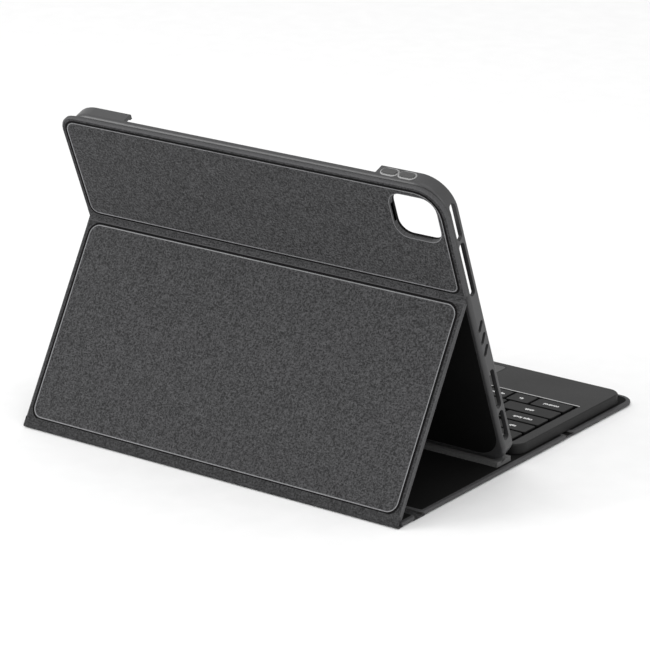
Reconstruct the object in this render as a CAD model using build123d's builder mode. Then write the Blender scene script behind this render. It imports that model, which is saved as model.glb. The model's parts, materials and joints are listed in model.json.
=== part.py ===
"""Tablet keyboard case, standing as an easel: folding cover, holding tray and keyboard.

Millimetres. +X is the user's right, -Y is towards the user, +Z is up. The origin is
under the middle of the case, on the surface that it stands on.
"""

from math import acos, cos, radians, sin

from build123d import *
import os

# Cover
COVER_WIDTH = 254.0
SPINE_LENGTH = 19.0
STAND_HEIGHT = 123.3  # stand foot to the crease under the upper panel
UPPER_HEIGHT = 69.2  # crease to the top edge
STAND_LEAN = 29.3  # degrees, stand panel forward of upright
TRAY_FOOT_LIFT = 3.62  # the tray's lower edge above the base's middle plane, in the strip's groove
SKIN_THICK = 0.8
BOARD_THICK = 1.2
LINING_THICK = 0.4
UPPER_BOARD_THICK = 1.9
RIM_WIDTH = 0.6  # skin turned up round a panel's edge
BOARD_GAP = 3.0  # from a fold to the board beside it
FOLD_GAP = 2.6  # from a fold's axis to the panel that turns about it
FOLD_RADIUS = 1.1
KINK_GAP = 0.3
FRONT_CORNER = 10.0
UPPER_CORNER_CAMERA = 17.5
UPPER_CORNER_PLAIN = 8.5
FLEX_FROM_FRONT = 72.0  # flex line between the two base boards, from the front edge
FLEX_WIDTH = 5.0

DOCK_PLATE = (200.0, 12.0, 0.5)  # steel strips that hold the keyboard
DOCK_PLATES_FROM_FRONT = (30.0, 95.0)
MAGNET_RADIUS = 5.0
MAGNET_THICK = 0.8
CLOSURE_FROM_FRONT = 12.0
CLOSURE_MAGNETS_X = (-108.0, -92.0, 92.0, 108.0)

# Holding tray
TABLET_WIDTH = 247.6
TABLET_DEPTH = 178.5
TABLET_THICK = 6.1
TABLET_CORNER = 16.0
TABLET_PLAY = 0.4
TRAY_WALL = 2.25
TRAY_FOOT_CORNER = 10.0
TRAY_FLOOR = 1.6
TRAY_LIP = 1.6  # thickness of the lip that holds the tablet's edge
TRAY_LIP_REACH = 1.0
TRAY_BACK_ROUND = 2.4
TRAY_FRONT_ROUND = 1.0
TRAY_ABOVE_SKIN = 1.0  # tray's top edge above the upper panel's
CAMERA_WIDTH = 29.0
CAMERA_HEIGHT = 27.4
CAMERA_CORNER = 8.0
CAMERA_FROM_TOP = 6.3  # from the skin's top edge
CAMERA_CENTRE_X = -106.2
STYLUS_RECESS = (-83.0, 84.0)
STYLUS_SILL = 1.0  # tray wall left under the recess, above the floor
BUTTON_CENTRES_X = (-90.75, -101.75)
BUTTON_LENGTH = 8.9
BUTTON_WIDTH = 4.0
BUTTON_CLEARANCE = 0.3
BUTTON_PROUD = 0.8
SLOT_WIDTH = 4.8
SIDE_SLOTS = ((13.0, 36.0), (38.0, 72.0), (122.0, 148.0), (150.0, 170.0))  # from the top edge
VENT_CENTRES = (92.5, 100.5, 108.5)  # slanted slits, from the top edge
VENT_LENGTH = 7.0
VENT_WIDTH = 2.6
VENT_SLANT = 40.0
FAR_SLOTS = ((20.0, 46.0), (85.0, 99.0), (138.0, 164.0))
TRAY_MAGNET = (20.0, 4.8, 1.1)
TRAY_MAGNETS_X = (-75.0, -25.0, 25.0, 75.0)

# Stop strip on the base, which the tray's foot stands behind
STRIP_BEHIND_FOOT = 3.18  # the strip's back edge behind the tray's lower edge
BASE_BEYOND_STRIP = 127.3  # from the strip to the base's front edge
STRIP_DEPTH = 13.5
STRIP_HEIGHT = 2.8
STRIP_INSET = 4.0
STRIP_CLEARANCE = 0.35
STRIP_BACK_CLEARANCE = 0.8
STRIP_MAGNET = (20.0, 4.0, 1.0)
STRIP_MAGNET_INSET = 1.5  # from the strip's front edge

# Keyboard
KEYBOARD_WIDTH = 247.0
KEYBOARD_FRONT_MARGIN = 10.0
KEYBOARD_DEPTH = 110.0
KEYBOARD_CORNER = 8.0
KEYBOARD_LIFT = 0.1  # feet above the lining
KEYBOARD_HEIGHT = 5.7
FEET_THICK = 0.4
CASE_WALL = 1.2
CASE_TOP = 1.0
CASE_FLOOR = 0.8
CASE_CLEARANCE = 0.1
CASE_CHAMFER = 0.6
WELL_FROM_FRONT = 37.0
KEY_AREA_INSET = 8.2  # from the keyboard's sides to the keys' space
KEY_ROW_PITCH = 13.4
KEY_GAP = 1.6
KEY_MARGIN = 1.4
KEY_CORNER = 1.2
KEY_HEIGHT = 1.6
KEY_SKIRT = 0.8
KEY_CROWN = 0.7
KEY_PROUD = 0.3  # key top above the case top
KEY_CHAMFER = 0.25
PLATE_THICK = 0.4
MEMBRANE_THICK = 0.3
PLATE_BELOW_TOP = 3.6
DOME_RADIUS = 2.2
DOME_TOP_RADIUS = 1.4
DOME_HEIGHT = 1.0
CLIP_SIZE = (9.0, 7.0)
CLIP_BAR = 1.0
CLIP_HEIGHT = 0.8
TOUCHPAD_WIDTH = 96.0
TOUCHPAD_DEPTH = 28.0
TOUCHPAD_FROM_FRONT = 4.5
TOUCHPAD_THICK = 1.4
TOUCHPAD_CORNER = 2.5
TOUCHPAD_CLEARANCE = 0.35
BATTERY = (58.0, 22.0, 2.8)
BATTERY_ROUND = 0.9
CIRCUIT_BOARD = (58.0, 22.0, 0.8)
CIRCUIT_BOARD_LIFT = 1.0
CHIP = (7.0, 5.0, 1.0)
CHIP_COLUMNS = 3
CHIP_ROWS = 2
PART_INSET = 41.5  # battery by one side, circuit board by the other: their middles
PORT_SIZE = (8.9, 3.2, 5.8)
PORT_WALL = 0.35
PORT_FROM_REAR = 20.0
SWITCH_FROM_REAR = 38.0
SWITCH_SLOT = (8.0, 2.2)
SWITCH_KNOB = (3.6, 1.6)
SWITCH_PROUD = 0.5
SWITCH_END_GAP = 0.3
SCREW_HEAD = (1.6, 0.7)
SCREW_SHANK = (0.7, 3.4)
BOSS_RADIUS = 1.5
SCREW_INSET = (7.0, 2.9)  # from the keyboard's side and ends
KEYBOARD_MAGNET = (18.0, 8.0, 1.0)
KEYBOARD_MAGNET_INSET = 33.5
KEYBOARD_MAGNET_SPREAD = 17.0
LIGHT_INSETS = (29.5, 24.5, 19.5)
LIGHT_RADIUS = 0.6
FOOT_SIZE = (14.0, 4.0)

# The unit rows of the keyboard, front row first, in key units from the user's left
ROW_UNITS = (
    (1.5, 1, 1, 1.25, 4.5, 1.25, 1, 1, 1, 1),
    (2.25,) + (1,) * 10 + (2.25,),
    (1.75,) + (1,) * 11 + (1.75,),
    (1.5,) + (1,) * 13,
    (1,) * 13 + (1.5,),
)
SINGLE_KEYS = {
    (0, 4): "space_key",
    (1, 0): "left_shift_key",
    (1, 11): "right_shift_key",
    (2, 0): "caps_key",
    (2, 12): "enter_key",
    (3, 0): "tab_key",
    (4, 13): "delete_key",
}
ROW_NAMES = ("keys_front_row", "keys_lower_row", "keys_home_row", "keys_upper_row", "keys_number_row")

# Worked out
PANEL_THICK = SKIN_THICK + BOARD_THICK + LINING_THICK
HALF_THICK = PANEL_THICK / 2
TRAY_DEPTH = TABLET_DEPTH + TABLET_PLAY + 2 * TRAY_WALL
TRAY_TOP = UPPER_HEIGHT + TRAY_ABOVE_SKIN
TRAY_BELOW_CREASE = TRAY_DEPTH - TRAY_TOP
STAND_ANGLE = radians(90 - STAND_LEAN)
TRAY_RISE = HALF_THICK + STAND_HEIGHT * sin(STAND_ANGLE) - TRAY_FOOT_LIFT
TRAY_ANGLE = radians(90) + acos(TRAY_RISE / TRAY_BELOW_CREASE)
TRAY_FOOT_REACH = STAND_HEIGHT * cos(STAND_ANGLE) - TRAY_BELOW_CREASE * cos(TRAY_ANGLE)
STRIP_BACK = TRAY_FOOT_REACH - STRIP_BEHIND_FOOT
BASE_LENGTH = STRIP_BACK + STRIP_DEPTH + BASE_BEYOND_STRIP
CENTRE_Y = (BASE_LENGTH - FOLD_RADIUS) / 2
KEY_AREA_WIDTH = KEYBOARD_WIDTH - 2 * KEY_AREA_INSET
PART_OFFSET_X = KEYBOARD_WIDTH / 2 - PART_INSET
MAGNET_X = KEYBOARD_WIDTH / 2 - KEYBOARD_MAGNET_INSET
KEYBOARD_MAGNETS = [
    (x, y) for y in (-KEYBOARD_MAGNET_SPREAD, KEYBOARD_MAGNET_SPREAD) for x in (-MAGNET_X, MAGNET_X)
]
LIGHT_CENTRES_X = [KEYBOARD_WIDTH / 2 - inset for inset in LIGHT_INSETS]
base_plane = Plane(origin=(0, CENTRE_Y, 0))
stand_plane = Plane(
    origin=(0, CENTRE_Y, HALF_THICK),
    x_dir=(1, 0, 0),
    z_dir=(0, -sin(STAND_ANGLE), -cos(STAND_ANGLE)),
)
CREASE_Y = CENTRE_Y - STAND_HEIGHT * cos(STAND_ANGLE)
CREASE_Z = HALF_THICK + STAND_HEIGHT * sin(STAND_ANGLE)
tray_plane = Plane(
    origin=(0, CREASE_Y, CREASE_Z),
    x_dir=(1, 0, 0),
    z_dir=(0, -sin(TRAY_ANGLE), -cos(TRAY_ANGLE)),
)

BAY_WIDTH = TABLET_WIDTH + TABLET_PLAY
BAY_DEPTH = TABLET_DEPTH + TABLET_PLAY
BAY_THICK = TABLET_THICK + TABLET_PLAY / 4
TRAY_WIDTH = BAY_WIDTH + 2 * TRAY_WALL
TRAY_THICK = TRAY_FLOOR + BAY_THICK + TRAY_LIP
TRAY_CORNER = TABLET_CORNER + TRAY_WALL
TRAY_CENTRE = TRAY_TOP - TRAY_DEPTH / 2
TRAY_BACK = -HALF_THICK + SKIN_THICK + UPPER_BOARD_THICK  # tray's back, from the crease axis
BAY_MIDDLE = TRAY_BACK + TRAY_FLOOR + BAY_THICK / 2
CAMERA_CENTRE_S = UPPER_HEIGHT - CAMERA_FROM_TOP - CAMERA_HEIGHT / 2

os.makedirs("parts", exist_ok=True)


def save(builder, name):
    """Label a finished piece and write it under its own name."""
    builder.part.label = name
    export_step(builder.part, f"parts/{name}.step")


def outline(width, low, high, low_corner=0.0, left_corner=0.0, right_corner=0.0):
    """A panel's outline in the current sketch, with rounded low corners and high corners."""
    with Locations((0, (low + high) / 2)):
        Rectangle(width, high - low)
    if low_corner > 0:
        fillet(vertices().group_by(Axis.Y)[0], low_corner)
    if left_corner > 0:
        fillet(vertices().group_by(Axis.Y)[-1].sort_by(Axis.X)[0], left_corner)
    if right_corner > 0:
        fillet(vertices().group_by(Axis.Y)[-1].sort_by(Axis.X)[-1], right_corner)


def camera_hole():
    """The camera cut-out in the current sketch."""
    with Locations((CAMERA_CENTRE_X, CAMERA_CENTRE_S)):
        RectangleRounded(CAMERA_WIDTH, CAMERA_HEIGHT, CAMERA_CORNER, mode=Mode.SUBTRACT)


# Cover, base panel: skin, two boards, lining
base_front = -BASE_LENGTH
flex_line = base_front + FLEX_FROM_FRONT
with BuildPart() as base_skin:
    with BuildSketch(base_plane):
        outline(COVER_WIDTH, base_front, -SPINE_LENGTH, FRONT_CORNER)
    extrude(amount=PANEL_THICK)
    with BuildSketch(base_plane.offset(SKIN_THICK)):
        outline(COVER_WIDTH - 2 * RIM_WIDTH, base_front + RIM_WIDTH, 0, FRONT_CORNER - RIM_WIDTH)
    extrude(amount=PANEL_THICK, mode=Mode.SUBTRACT)
save(base_skin, "base_skin")

board_width = COVER_WIDTH - 2 * RIM_WIDTH
with BuildPart() as base_front_board:
    with BuildSketch(base_plane.offset(SKIN_THICK)):
        outline(board_width, base_front + RIM_WIDTH, flex_line - FLEX_WIDTH / 2, FRONT_CORNER - RIM_WIDTH)
    extrude(amount=BOARD_THICK)
    with BuildSketch(base_plane.offset(SKIN_THICK + BOARD_THICK - DOCK_PLATE[2])):
        with Locations((0, base_front + DOCK_PLATES_FROM_FRONT[0])):
            Rectangle(DOCK_PLATE[0], DOCK_PLATE[1])
    extrude(amount=DOCK_PLATE[2], mode=Mode.SUBTRACT)
    with BuildSketch(base_plane.offset(SKIN_THICK + BOARD_THICK - MAGNET_THICK)):
        with Locations(*[(x, base_front + CLOSURE_FROM_FRONT) for x in CLOSURE_MAGNETS_X]):
            Circle(MAGNET_RADIUS)
    extrude(amount=MAGNET_THICK, mode=Mode.SUBTRACT)
save(base_front_board, "base_front_board")

with BuildPart() as base_rear_board:
    with BuildSketch(base_plane.offset(SKIN_THICK)):
        outline(board_width, flex_line + FLEX_WIDTH / 2, -SPINE_LENGTH - BOARD_GAP)
    extrude(amount=BOARD_THICK)
    with BuildSketch(base_plane.offset(SKIN_THICK + BOARD_THICK - DOCK_PLATE[2])):
        with Locations((0, base_front + DOCK_PLATES_FROM_FRONT[1])):
            Rectangle(DOCK_PLATE[0], DOCK_PLATE[1])
    extrude(amount=DOCK_PLATE[2], mode=Mode.SUBTRACT)
save(base_rear_board, "base_rear_board")

with BuildPart() as dock_plates:
    with BuildSketch(base_plane.offset(SKIN_THICK + BOARD_THICK - DOCK_PLATE[2])):
        with Locations(*[(0, base_front + place) for place in DOCK_PLATES_FROM_FRONT]):
            Rectangle(DOCK_PLATE[0], DOCK_PLATE[1])
    extrude(amount=DOCK_PLATE[2])
save(dock_plates, "dock_plates")

with BuildPart() as closure_magnets:
    with BuildSketch(base_plane.offset(SKIN_THICK + BOARD_THICK - MAGNET_THICK)):
        with Locations(*[(x, base_front + CLOSURE_FROM_FRONT) for x in CLOSURE_MAGNETS_X]):
            Circle(MAGNET_RADIUS)
    extrude(amount=MAGNET_THICK)
save(closure_magnets, "closure_magnets")

with BuildPart() as base_lining:
    with BuildSketch(base_plane.offset(SKIN_THICK + BOARD_THICK)):
        outline(board_width, base_front + RIM_WIDTH, -SPINE_LENGTH, FRONT_CORNER - RIM_WIDTH)
    extrude(amount=LINING_THICK)
save(base_lining, "base_lining")

# Stop strip: a low bar with a groove that the tray's lower edge stands in
strip_width = COVER_WIDTH - 2 * STRIP_INSET
strip_low = -STRIP_BACK - STRIP_DEPTH
strip_magnet_y = strip_low + STRIP_MAGNET_INSET + STRIP_MAGNET[1] / 2
tray_foot_s = TRAY_TOP - TRAY_DEPTH
with BuildPart() as stop_strip:
    with BuildSketch(base_plane.offset(PANEL_THICK)):
        outline(strip_width, strip_low, -STRIP_BACK)
    extrude(amount=STRIP_HEIGHT)
    with BuildSketch(tray_plane.offset(TRAY_BACK - STRIP_BACK_CLEARANCE)):
        with Locations((0, tray_foot_s - STRIP_CLEARANCE + TRAY_DEPTH / 2)):
            Rectangle(COVER_WIDTH, TRAY_DEPTH)
    extrude(amount=TRAY_THICK + STRIP_DEPTH, mode=Mode.SUBTRACT)
    with BuildSketch(base_plane.offset(PANEL_THICK)):
        with Locations(*[(x, strip_magnet_y) for x in TRAY_MAGNETS_X]):
            Rectangle(STRIP_MAGNET[0], STRIP_MAGNET[1])
    extrude(amount=STRIP_MAGNET[2], mode=Mode.SUBTRACT)
save(stop_strip, "stop_strip")

with BuildPart() as strip_magnets:
    with BuildSketch(base_plane.offset(PANEL_THICK)):
        with Locations(*[(x, strip_magnet_y) for x in TRAY_MAGNETS_X]):
            Rectangle(STRIP_MAGNET[0], STRIP_MAGNET[1])
    extrude(amount=STRIP_MAGNET[2])
save(strip_magnets, "strip_magnets")


def plain_panel(name, plane, low, high):
    """Skin, board and lining of a panel between two folds, each side rim turned up."""
    with BuildPart() as skin:
        with BuildSketch(plane):
            outline(COVER_WIDTH, low, high)
        extrude(amount=PANEL_THICK)
        with BuildSketch(plane.offset(SKIN_THICK)):
            outline(board_width, low, high)
        extrude(amount=PANEL_THICK, mode=Mode.SUBTRACT)
    save(skin, f"{name}_skin")
    with BuildPart() as board:
        with BuildSketch(plane.offset(SKIN_THICK)):
            outline(board_width, low + BOARD_GAP - KINK_GAP, high - BOARD_GAP + KINK_GAP)
        extrude(amount=BOARD_THICK)
    save(board, f"{name}_board")
    with BuildPart() as lining:
        with BuildSketch(plane.offset(SKIN_THICK + BOARD_THICK)):
            outline(board_width, low, high)
        extrude(amount=LINING_THICK)
    save(lining, f"{name}_lining")


def fold_band(name, plane, reach):
    """The bare skin of a fold: a round along the axis and the flap that joins its panel."""
    with BuildPart() as band:
        with BuildSketch(Plane(origin=plane.origin, x_dir=plane.y_dir, z_dir=plane.x_dir)):
            Circle(FOLD_RADIUS)
            with Locations((reach / 2, SKIN_THICK / 2 - HALF_THICK)):
                Rectangle(abs(reach), SKIN_THICK)
        extrude(amount=COVER_WIDTH / 2, both=True)
    save(band, name)


# Spine, with the fold that the stand turns on
plain_panel("spine", base_plane, -SPINE_LENGTH + KINK_GAP, -FOLD_GAP)
fold_band("foot_fold", base_plane.offset(HALF_THICK), -FOLD_GAP)

# Stand panel, with the crease under the upper panel
stand_back = stand_plane.offset(-HALF_THICK)
plain_panel("stand", stand_back, FOLD_GAP, STAND_HEIGHT - FOLD_GAP)
crease_plane = Plane(origin=(0, CREASE_Y, CREASE_Z), x_dir=(1, 0, 0), z_dir=stand_plane.z_dir)
fold_band("crease_fold", crease_plane, -FOLD_GAP)

# Upper panel, glued to the tray
upper_back = tray_plane.offset(-HALF_THICK)
upper_thick = SKIN_THICK + UPPER_BOARD_THICK
with BuildPart() as upper_skin:
    with BuildSketch(upper_back):
        outline(COVER_WIDTH, FOLD_GAP, UPPER_HEIGHT, 0, UPPER_CORNER_CAMERA, UPPER_CORNER_PLAIN)
        camera_hole()
    extrude(amount=upper_thick)
    with BuildSketch(upper_back.offset(SKIN_THICK)):
        outline(
            board_width,
            FOLD_GAP,
            UPPER_HEIGHT - RIM_WIDTH,
            0,
            UPPER_CORNER_CAMERA - RIM_WIDTH,
            UPPER_CORNER_PLAIN - RIM_WIDTH,
        )
    extrude(amount=upper_thick, mode=Mode.SUBTRACT)
save(upper_skin, "upper_skin")

with BuildPart() as upper_board:
    with BuildSketch(upper_back.offset(SKIN_THICK)):
        outline(
            board_width,
            BOARD_GAP,
            UPPER_HEIGHT - RIM_WIDTH,
            0,
            UPPER_CORNER_CAMERA - RIM_WIDTH,
            UPPER_CORNER_PLAIN - RIM_WIDTH,
        )
        camera_hole()
    extrude(amount=UPPER_BOARD_THICK)
save(upper_board, "upper_board")

# Tray: a flexible rim round the tablet's edge, moulded round a stiffer floor
tray_back = tray_plane.offset(TRAY_BACK)
side_cut = 3 * TRAY_WALL
side_face = Plane(origin=tray_plane.origin, x_dir=tray_plane.y_dir, z_dir=(1, 0, 0))
top_face = Plane(origin=tray_plane.origin, x_dir=(1, 0, 0), z_dir=-tray_plane.y_dir)


def tray_mouth():
    """The outline inside the tray's lip, which is the floor's outline too."""
    with Locations((0, TRAY_CENTRE)):
        RectangleRounded(
            BAY_WIDTH - 2 * TRAY_LIP_REACH, BAY_DEPTH - 2 * TRAY_LIP_REACH, TABLET_CORNER - TRAY_LIP_REACH
        )


with BuildPart() as tray_rim:
    with BuildSketch(tray_back):
        outline(TRAY_WIDTH, tray_foot_s, TRAY_TOP, TRAY_FOOT_CORNER, TRAY_CORNER, TRAY_CORNER)
    extrude(amount=TRAY_THICK)
    back_to_front = Axis(tray_plane.origin, tray_plane.z_dir)
    fillet(tray_rim.faces().sort_by(back_to_front)[0].edges(), TRAY_BACK_ROUND)
    fillet(tray_rim.faces().sort_by(back_to_front)[-1].edges(), TRAY_FRONT_ROUND)
    with BuildSketch(tray_back.offset(TRAY_FLOOR)):
        with Locations((0, TRAY_CENTRE)):
            RectangleRounded(BAY_WIDTH, BAY_DEPTH, TABLET_CORNER)
    extrude(amount=BAY_THICK, mode=Mode.SUBTRACT)
    with BuildSketch(tray_back):
        tray_mouth()
    extrude(amount=TRAY_THICK, mode=Mode.SUBTRACT)
    with BuildSketch(tray_back.offset(TRAY_FLOOR + STYLUS_SILL)):
        with Locations((sum(STYLUS_RECESS) / 2, TRAY_TOP - side_cut / 2 + TRAY_WALL)):
            Rectangle(STYLUS_RECESS[1] - STYLUS_RECESS[0], side_cut)
    extrude(amount=TRAY_THICK, mode=Mode.SUBTRACT)
    with BuildSketch(side_face.offset(-TRAY_WIDTH / 2 - TRAY_WALL)):
        for near, far in SIDE_SLOTS:
            with Locations((TRAY_TOP - (near + far) / 2, BAY_MIDDLE)):
                SlotOverall(far - near, SLOT_WIDTH)
        for centre in VENT_CENTRES:
            with Locations(Location((TRAY_TOP - centre, BAY_MIDDLE), VENT_SLANT)):
                SlotOverall(VENT_LENGTH, VENT_WIDTH)
    extrude(amount=side_cut, mode=Mode.SUBTRACT)
    with BuildSketch(side_face.offset(TRAY_WIDTH / 2 - 2 * TRAY_WALL)):
        for near, far in FAR_SLOTS:
            with Locations((TRAY_TOP - (near + far) / 2, BAY_MIDDLE)):
                SlotOverall(far - near, SLOT_WIDTH)
    extrude(amount=side_cut, mode=Mode.SUBTRACT)
    with BuildSketch(top_face.offset(-TRAY_TOP - TRAY_WALL)):
        with Locations(*[(x, BAY_MIDDLE) for x in BUTTON_CENTRES_X]):
            SlotOverall(BUTTON_LENGTH + 2 * BUTTON_CLEARANCE, BUTTON_WIDTH + 2 * BUTTON_CLEARANCE)
    extrude(amount=side_cut, mode=Mode.SUBTRACT)
    with BuildSketch(tray_back.offset(BAY_MIDDLE - TRAY_BACK - TRAY_MAGNET[1] / 2)):
        with Locations(*[(x, tray_foot_s + TRAY_WALL - TRAY_MAGNET[2] / 2) for x in TRAY_MAGNETS_X]):
            Rectangle(TRAY_MAGNET[0], TRAY_MAGNET[2])
    extrude(amount=TRAY_MAGNET[1], mode=Mode.SUBTRACT)
save(tray_rim, "tray_rim")

with BuildPart() as tray_floor:
    with BuildSketch(tray_back):
        tray_mouth()
        camera_hole()
    extrude(amount=TRAY_FLOOR)
save(tray_floor, "tray_floor")

with BuildPart() as tray_magnets:
    with BuildSketch(tray_back.offset(BAY_MIDDLE - TRAY_BACK - TRAY_MAGNET[1] / 2)):
        with Locations(*[(x, tray_foot_s + TRAY_WALL - TRAY_MAGNET[2] / 2) for x in TRAY_MAGNETS_X]):
            Rectangle(TRAY_MAGNET[0], TRAY_MAGNET[2])
    extrude(amount=TRAY_MAGNET[1])
save(tray_magnets, "tray_magnets")

for button_name, button_x in zip(("volume_up_button", "volume_down_button"), BUTTON_CENTRES_X):
    with BuildPart() as button:
        with BuildSketch(top_face.offset(-TRAY_TOP - BUTTON_PROUD)):
            with Locations((button_x, BAY_MIDDLE)):
                SlotOverall(BUTTON_LENGTH, BUTTON_WIDTH)
        extrude(amount=TRAY_WALL + BUTTON_PROUD)
    save(button, button_name)

# Keyboard
keyboard_low = base_front + KEYBOARD_FRONT_MARGIN
keyboard_high = keyboard_low + KEYBOARD_DEPTH
keyboard_middle = (keyboard_low + keyboard_high) / 2
keyboard_z = PANEL_THICK + KEYBOARD_LIFT + FEET_THICK
case_top_z = keyboard_z + KEYBOARD_HEIGHT
floor_top_z = keyboard_z + CASE_FLOOR
plate_z = case_top_z - PLATE_BELOW_TOP
membrane_z = plate_z + PLATE_THICK
membrane_top_z = membrane_z + MEMBRANE_THICK
key_bottom_z = case_top_z + KEY_PROUD - KEY_HEIGHT
well_low = keyboard_low + WELL_FROM_FRONT
key_depth = KEY_ROW_PITCH - KEY_GAP
well_high = well_low + 2 * KEY_MARGIN + (len(ROW_UNITS) - 1) * KEY_ROW_PITCH + key_depth
well_width = KEY_AREA_WIDTH + 2 * KEY_MARGIN
well_middle = (well_low + well_high) / 2
touchpad_high = keyboard_low + TOUCHPAD_FROM_FRONT + TOUCHPAD_DEPTH
touchpad_middle = touchpad_high - TOUCHPAD_DEPTH / 2
palm_middle = keyboard_low + CASE_WALL + (WELL_FROM_FRONT - CASE_WALL) / 2
screw_x = KEYBOARD_WIDTH / 2 - SCREW_INSET[0]
screw_places = [
    (x, y)
    for x in (-screw_x, 0, screw_x)
    for y in (keyboard_low + SCREW_INSET[1], keyboard_high - SCREW_INSET[1])
]
screw_places = [(x, y) for x, y in screw_places if x or y > keyboard_middle]
key_places = {}
for row, units in enumerate(ROW_UNITS):
    unit = KEY_AREA_WIDTH / sum(units)
    low_x = -KEY_AREA_WIDTH / 2
    row_y = well_low + KEY_MARGIN + row * KEY_ROW_PITCH + key_depth / 2
    for place, width in enumerate(units):
        centre_x = low_x + width * unit / 2
        key_places[row, place] = (centre_x, row_y, width * unit - KEY_GAP)
        low_x += width * unit


def keyboard_plane(height):
    """A level plane at this height, centred on the case's middle."""
    return base_plane.offset(height)


with BuildPart() as keyboard_top_case:
    with BuildSketch(keyboard_plane(keyboard_z)):
        with Locations((0, keyboard_middle)):
            RectangleRounded(KEYBOARD_WIDTH, KEYBOARD_DEPTH, KEYBOARD_CORNER)
    extrude(amount=KEYBOARD_HEIGHT)
    chamfer(keyboard_top_case.faces().sort_by(Axis.Z)[-1].edges(), CASE_CHAMFER)
    with BuildSketch(keyboard_plane(keyboard_z)):
        with Locations((0, keyboard_middle)):
            RectangleRounded(
                KEYBOARD_WIDTH - 2 * CASE_WALL, KEYBOARD_DEPTH - 2 * CASE_WALL, KEYBOARD_CORNER - CASE_WALL
            )
    extrude(amount=KEYBOARD_HEIGHT - CASE_TOP, mode=Mode.SUBTRACT)
    with BuildSketch(keyboard_plane(floor_top_z + CASE_CLEARANCE)):
        with Locations(*screw_places):
            Circle(BOSS_RADIUS)
    extrude(amount=KEYBOARD_HEIGHT - CASE_FLOOR - CASE_TOP - CASE_CLEARANCE)
    with BuildSketch(keyboard_plane(floor_top_z)):
        with Locations(*screw_places):
            Circle(SCREW_SHANK[0])
    extrude(amount=SCREW_SHANK[1] - CASE_FLOOR + SCREW_HEAD[1], mode=Mode.SUBTRACT)
    with BuildSketch(keyboard_plane(case_top_z - CASE_TOP)):
        with Locations((0, well_middle)):
            RectangleRounded(well_width, well_high - well_low, KEY_CORNER)
        with Locations((0, touchpad_middle)):
            RectangleRounded(
                TOUCHPAD_WIDTH + 2 * TOUCHPAD_CLEARANCE,
                TOUCHPAD_DEPTH + 2 * TOUCHPAD_CLEARANCE,
                TOUCHPAD_CORNER + TOUCHPAD_CLEARANCE,
            )
        with Locations(*[(x, (well_high + keyboard_high) / 2) for x in LIGHT_CENTRES_X]):
            Circle(LIGHT_RADIUS)
    extrude(amount=CASE_TOP, mode=Mode.SUBTRACT)
    side_plane = Plane(origin=(KEYBOARD_WIDTH / 2, 0, 0), x_dir=(0, 1, 0), z_dir=(1, 0, 0))
    with BuildSketch(side_plane.offset(-2 * CASE_WALL)):
        with Locations((CENTRE_Y + keyboard_high - PORT_FROM_REAR, keyboard_z + KEYBOARD_HEIGHT / 2)):
            SlotOverall(PORT_SIZE[0] + 2 * CASE_CLEARANCE, PORT_SIZE[1] + 2 * CASE_CLEARANCE)
        with Locations((CENTRE_Y + keyboard_high - SWITCH_FROM_REAR, keyboard_z + KEYBOARD_HEIGHT / 2)):
            SlotOverall(*SWITCH_SLOT)
    extrude(amount=3 * CASE_WALL, mode=Mode.SUBTRACT)
save(keyboard_top_case, "keyboard_top_case")

with BuildPart() as keyboard_bottom_case:
    inner_gap = 2 * CASE_WALL + 2 * CASE_CLEARANCE
    with BuildSketch(keyboard_plane(keyboard_z)):
        with Locations((0, keyboard_middle)):
            RectangleRounded(
                KEYBOARD_WIDTH - inner_gap, KEYBOARD_DEPTH - inner_gap, KEYBOARD_CORNER - inner_gap / 2
            )
    extrude(amount=CASE_FLOOR)
    with BuildSketch(keyboard_plane(keyboard_z)):
        with Locations(*screw_places):
            Circle(SCREW_SHANK[0] + CASE_CLEARANCE)
    extrude(amount=CASE_FLOOR, mode=Mode.SUBTRACT)
save(keyboard_bottom_case, "keyboard_bottom_case")

with BuildPart() as case_screws:
    with BuildSketch(keyboard_plane(keyboard_z - FEET_THICK / 2)):
        with Locations(*screw_places):
            Circle(SCREW_HEAD[0])
    extrude(amount=FEET_THICK / 2)
    with BuildSketch(keyboard_plane(keyboard_z)):
        with Locations(*screw_places):
            Circle(SCREW_SHANK[0])
    extrude(amount=SCREW_SHANK[1])
save(case_screws, "case_screws")

with BuildPart() as keyboard_feet:
    foot_x = KEYBOARD_WIDTH / 2 - 3 * SCREW_INSET[0]
    foot_y = KEYBOARD_DEPTH / 2 - 2 * SCREW_INSET[1]
    with BuildSketch(keyboard_plane(keyboard_z - FEET_THICK)):
        with Locations(*[(x, keyboard_middle + y) for x in (-foot_x, foot_x) for y in (-foot_y, foot_y)]):
            SlotOverall(*FOOT_SIZE)
    extrude(amount=FEET_THICK)
save(keyboard_feet, "keyboard_feet")

with BuildPart() as key_support_plate:
    with BuildSketch(keyboard_plane(plate_z)):
        with Locations((0, well_middle)):
            RectangleRounded(well_width + KEY_MARGIN, well_high - well_low + KEY_MARGIN, KEY_CORNER)
    extrude(amount=PLATE_THICK)
save(key_support_plate, "key_support_plate")

with BuildPart() as key_membrane:
    with BuildSketch(keyboard_plane(membrane_z)):
        with Locations((0, well_middle)):
            RectangleRounded(well_width + KEY_MARGIN, well_high - well_low + KEY_MARGIN, KEY_CORNER)
    extrude(amount=MEMBRANE_THICK)
save(key_membrane, "key_membrane")

with BuildPart() as rubber_domes:
    with Locations(*[(x, CENTRE_Y + y, membrane_top_z) for x, y, width in key_places.values()]):
        Cone(DOME_RADIUS, DOME_TOP_RADIUS, DOME_HEIGHT, align=(Align.CENTER, Align.CENTER, Align.MIN))
save(rubber_domes, "rubber_domes")

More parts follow.
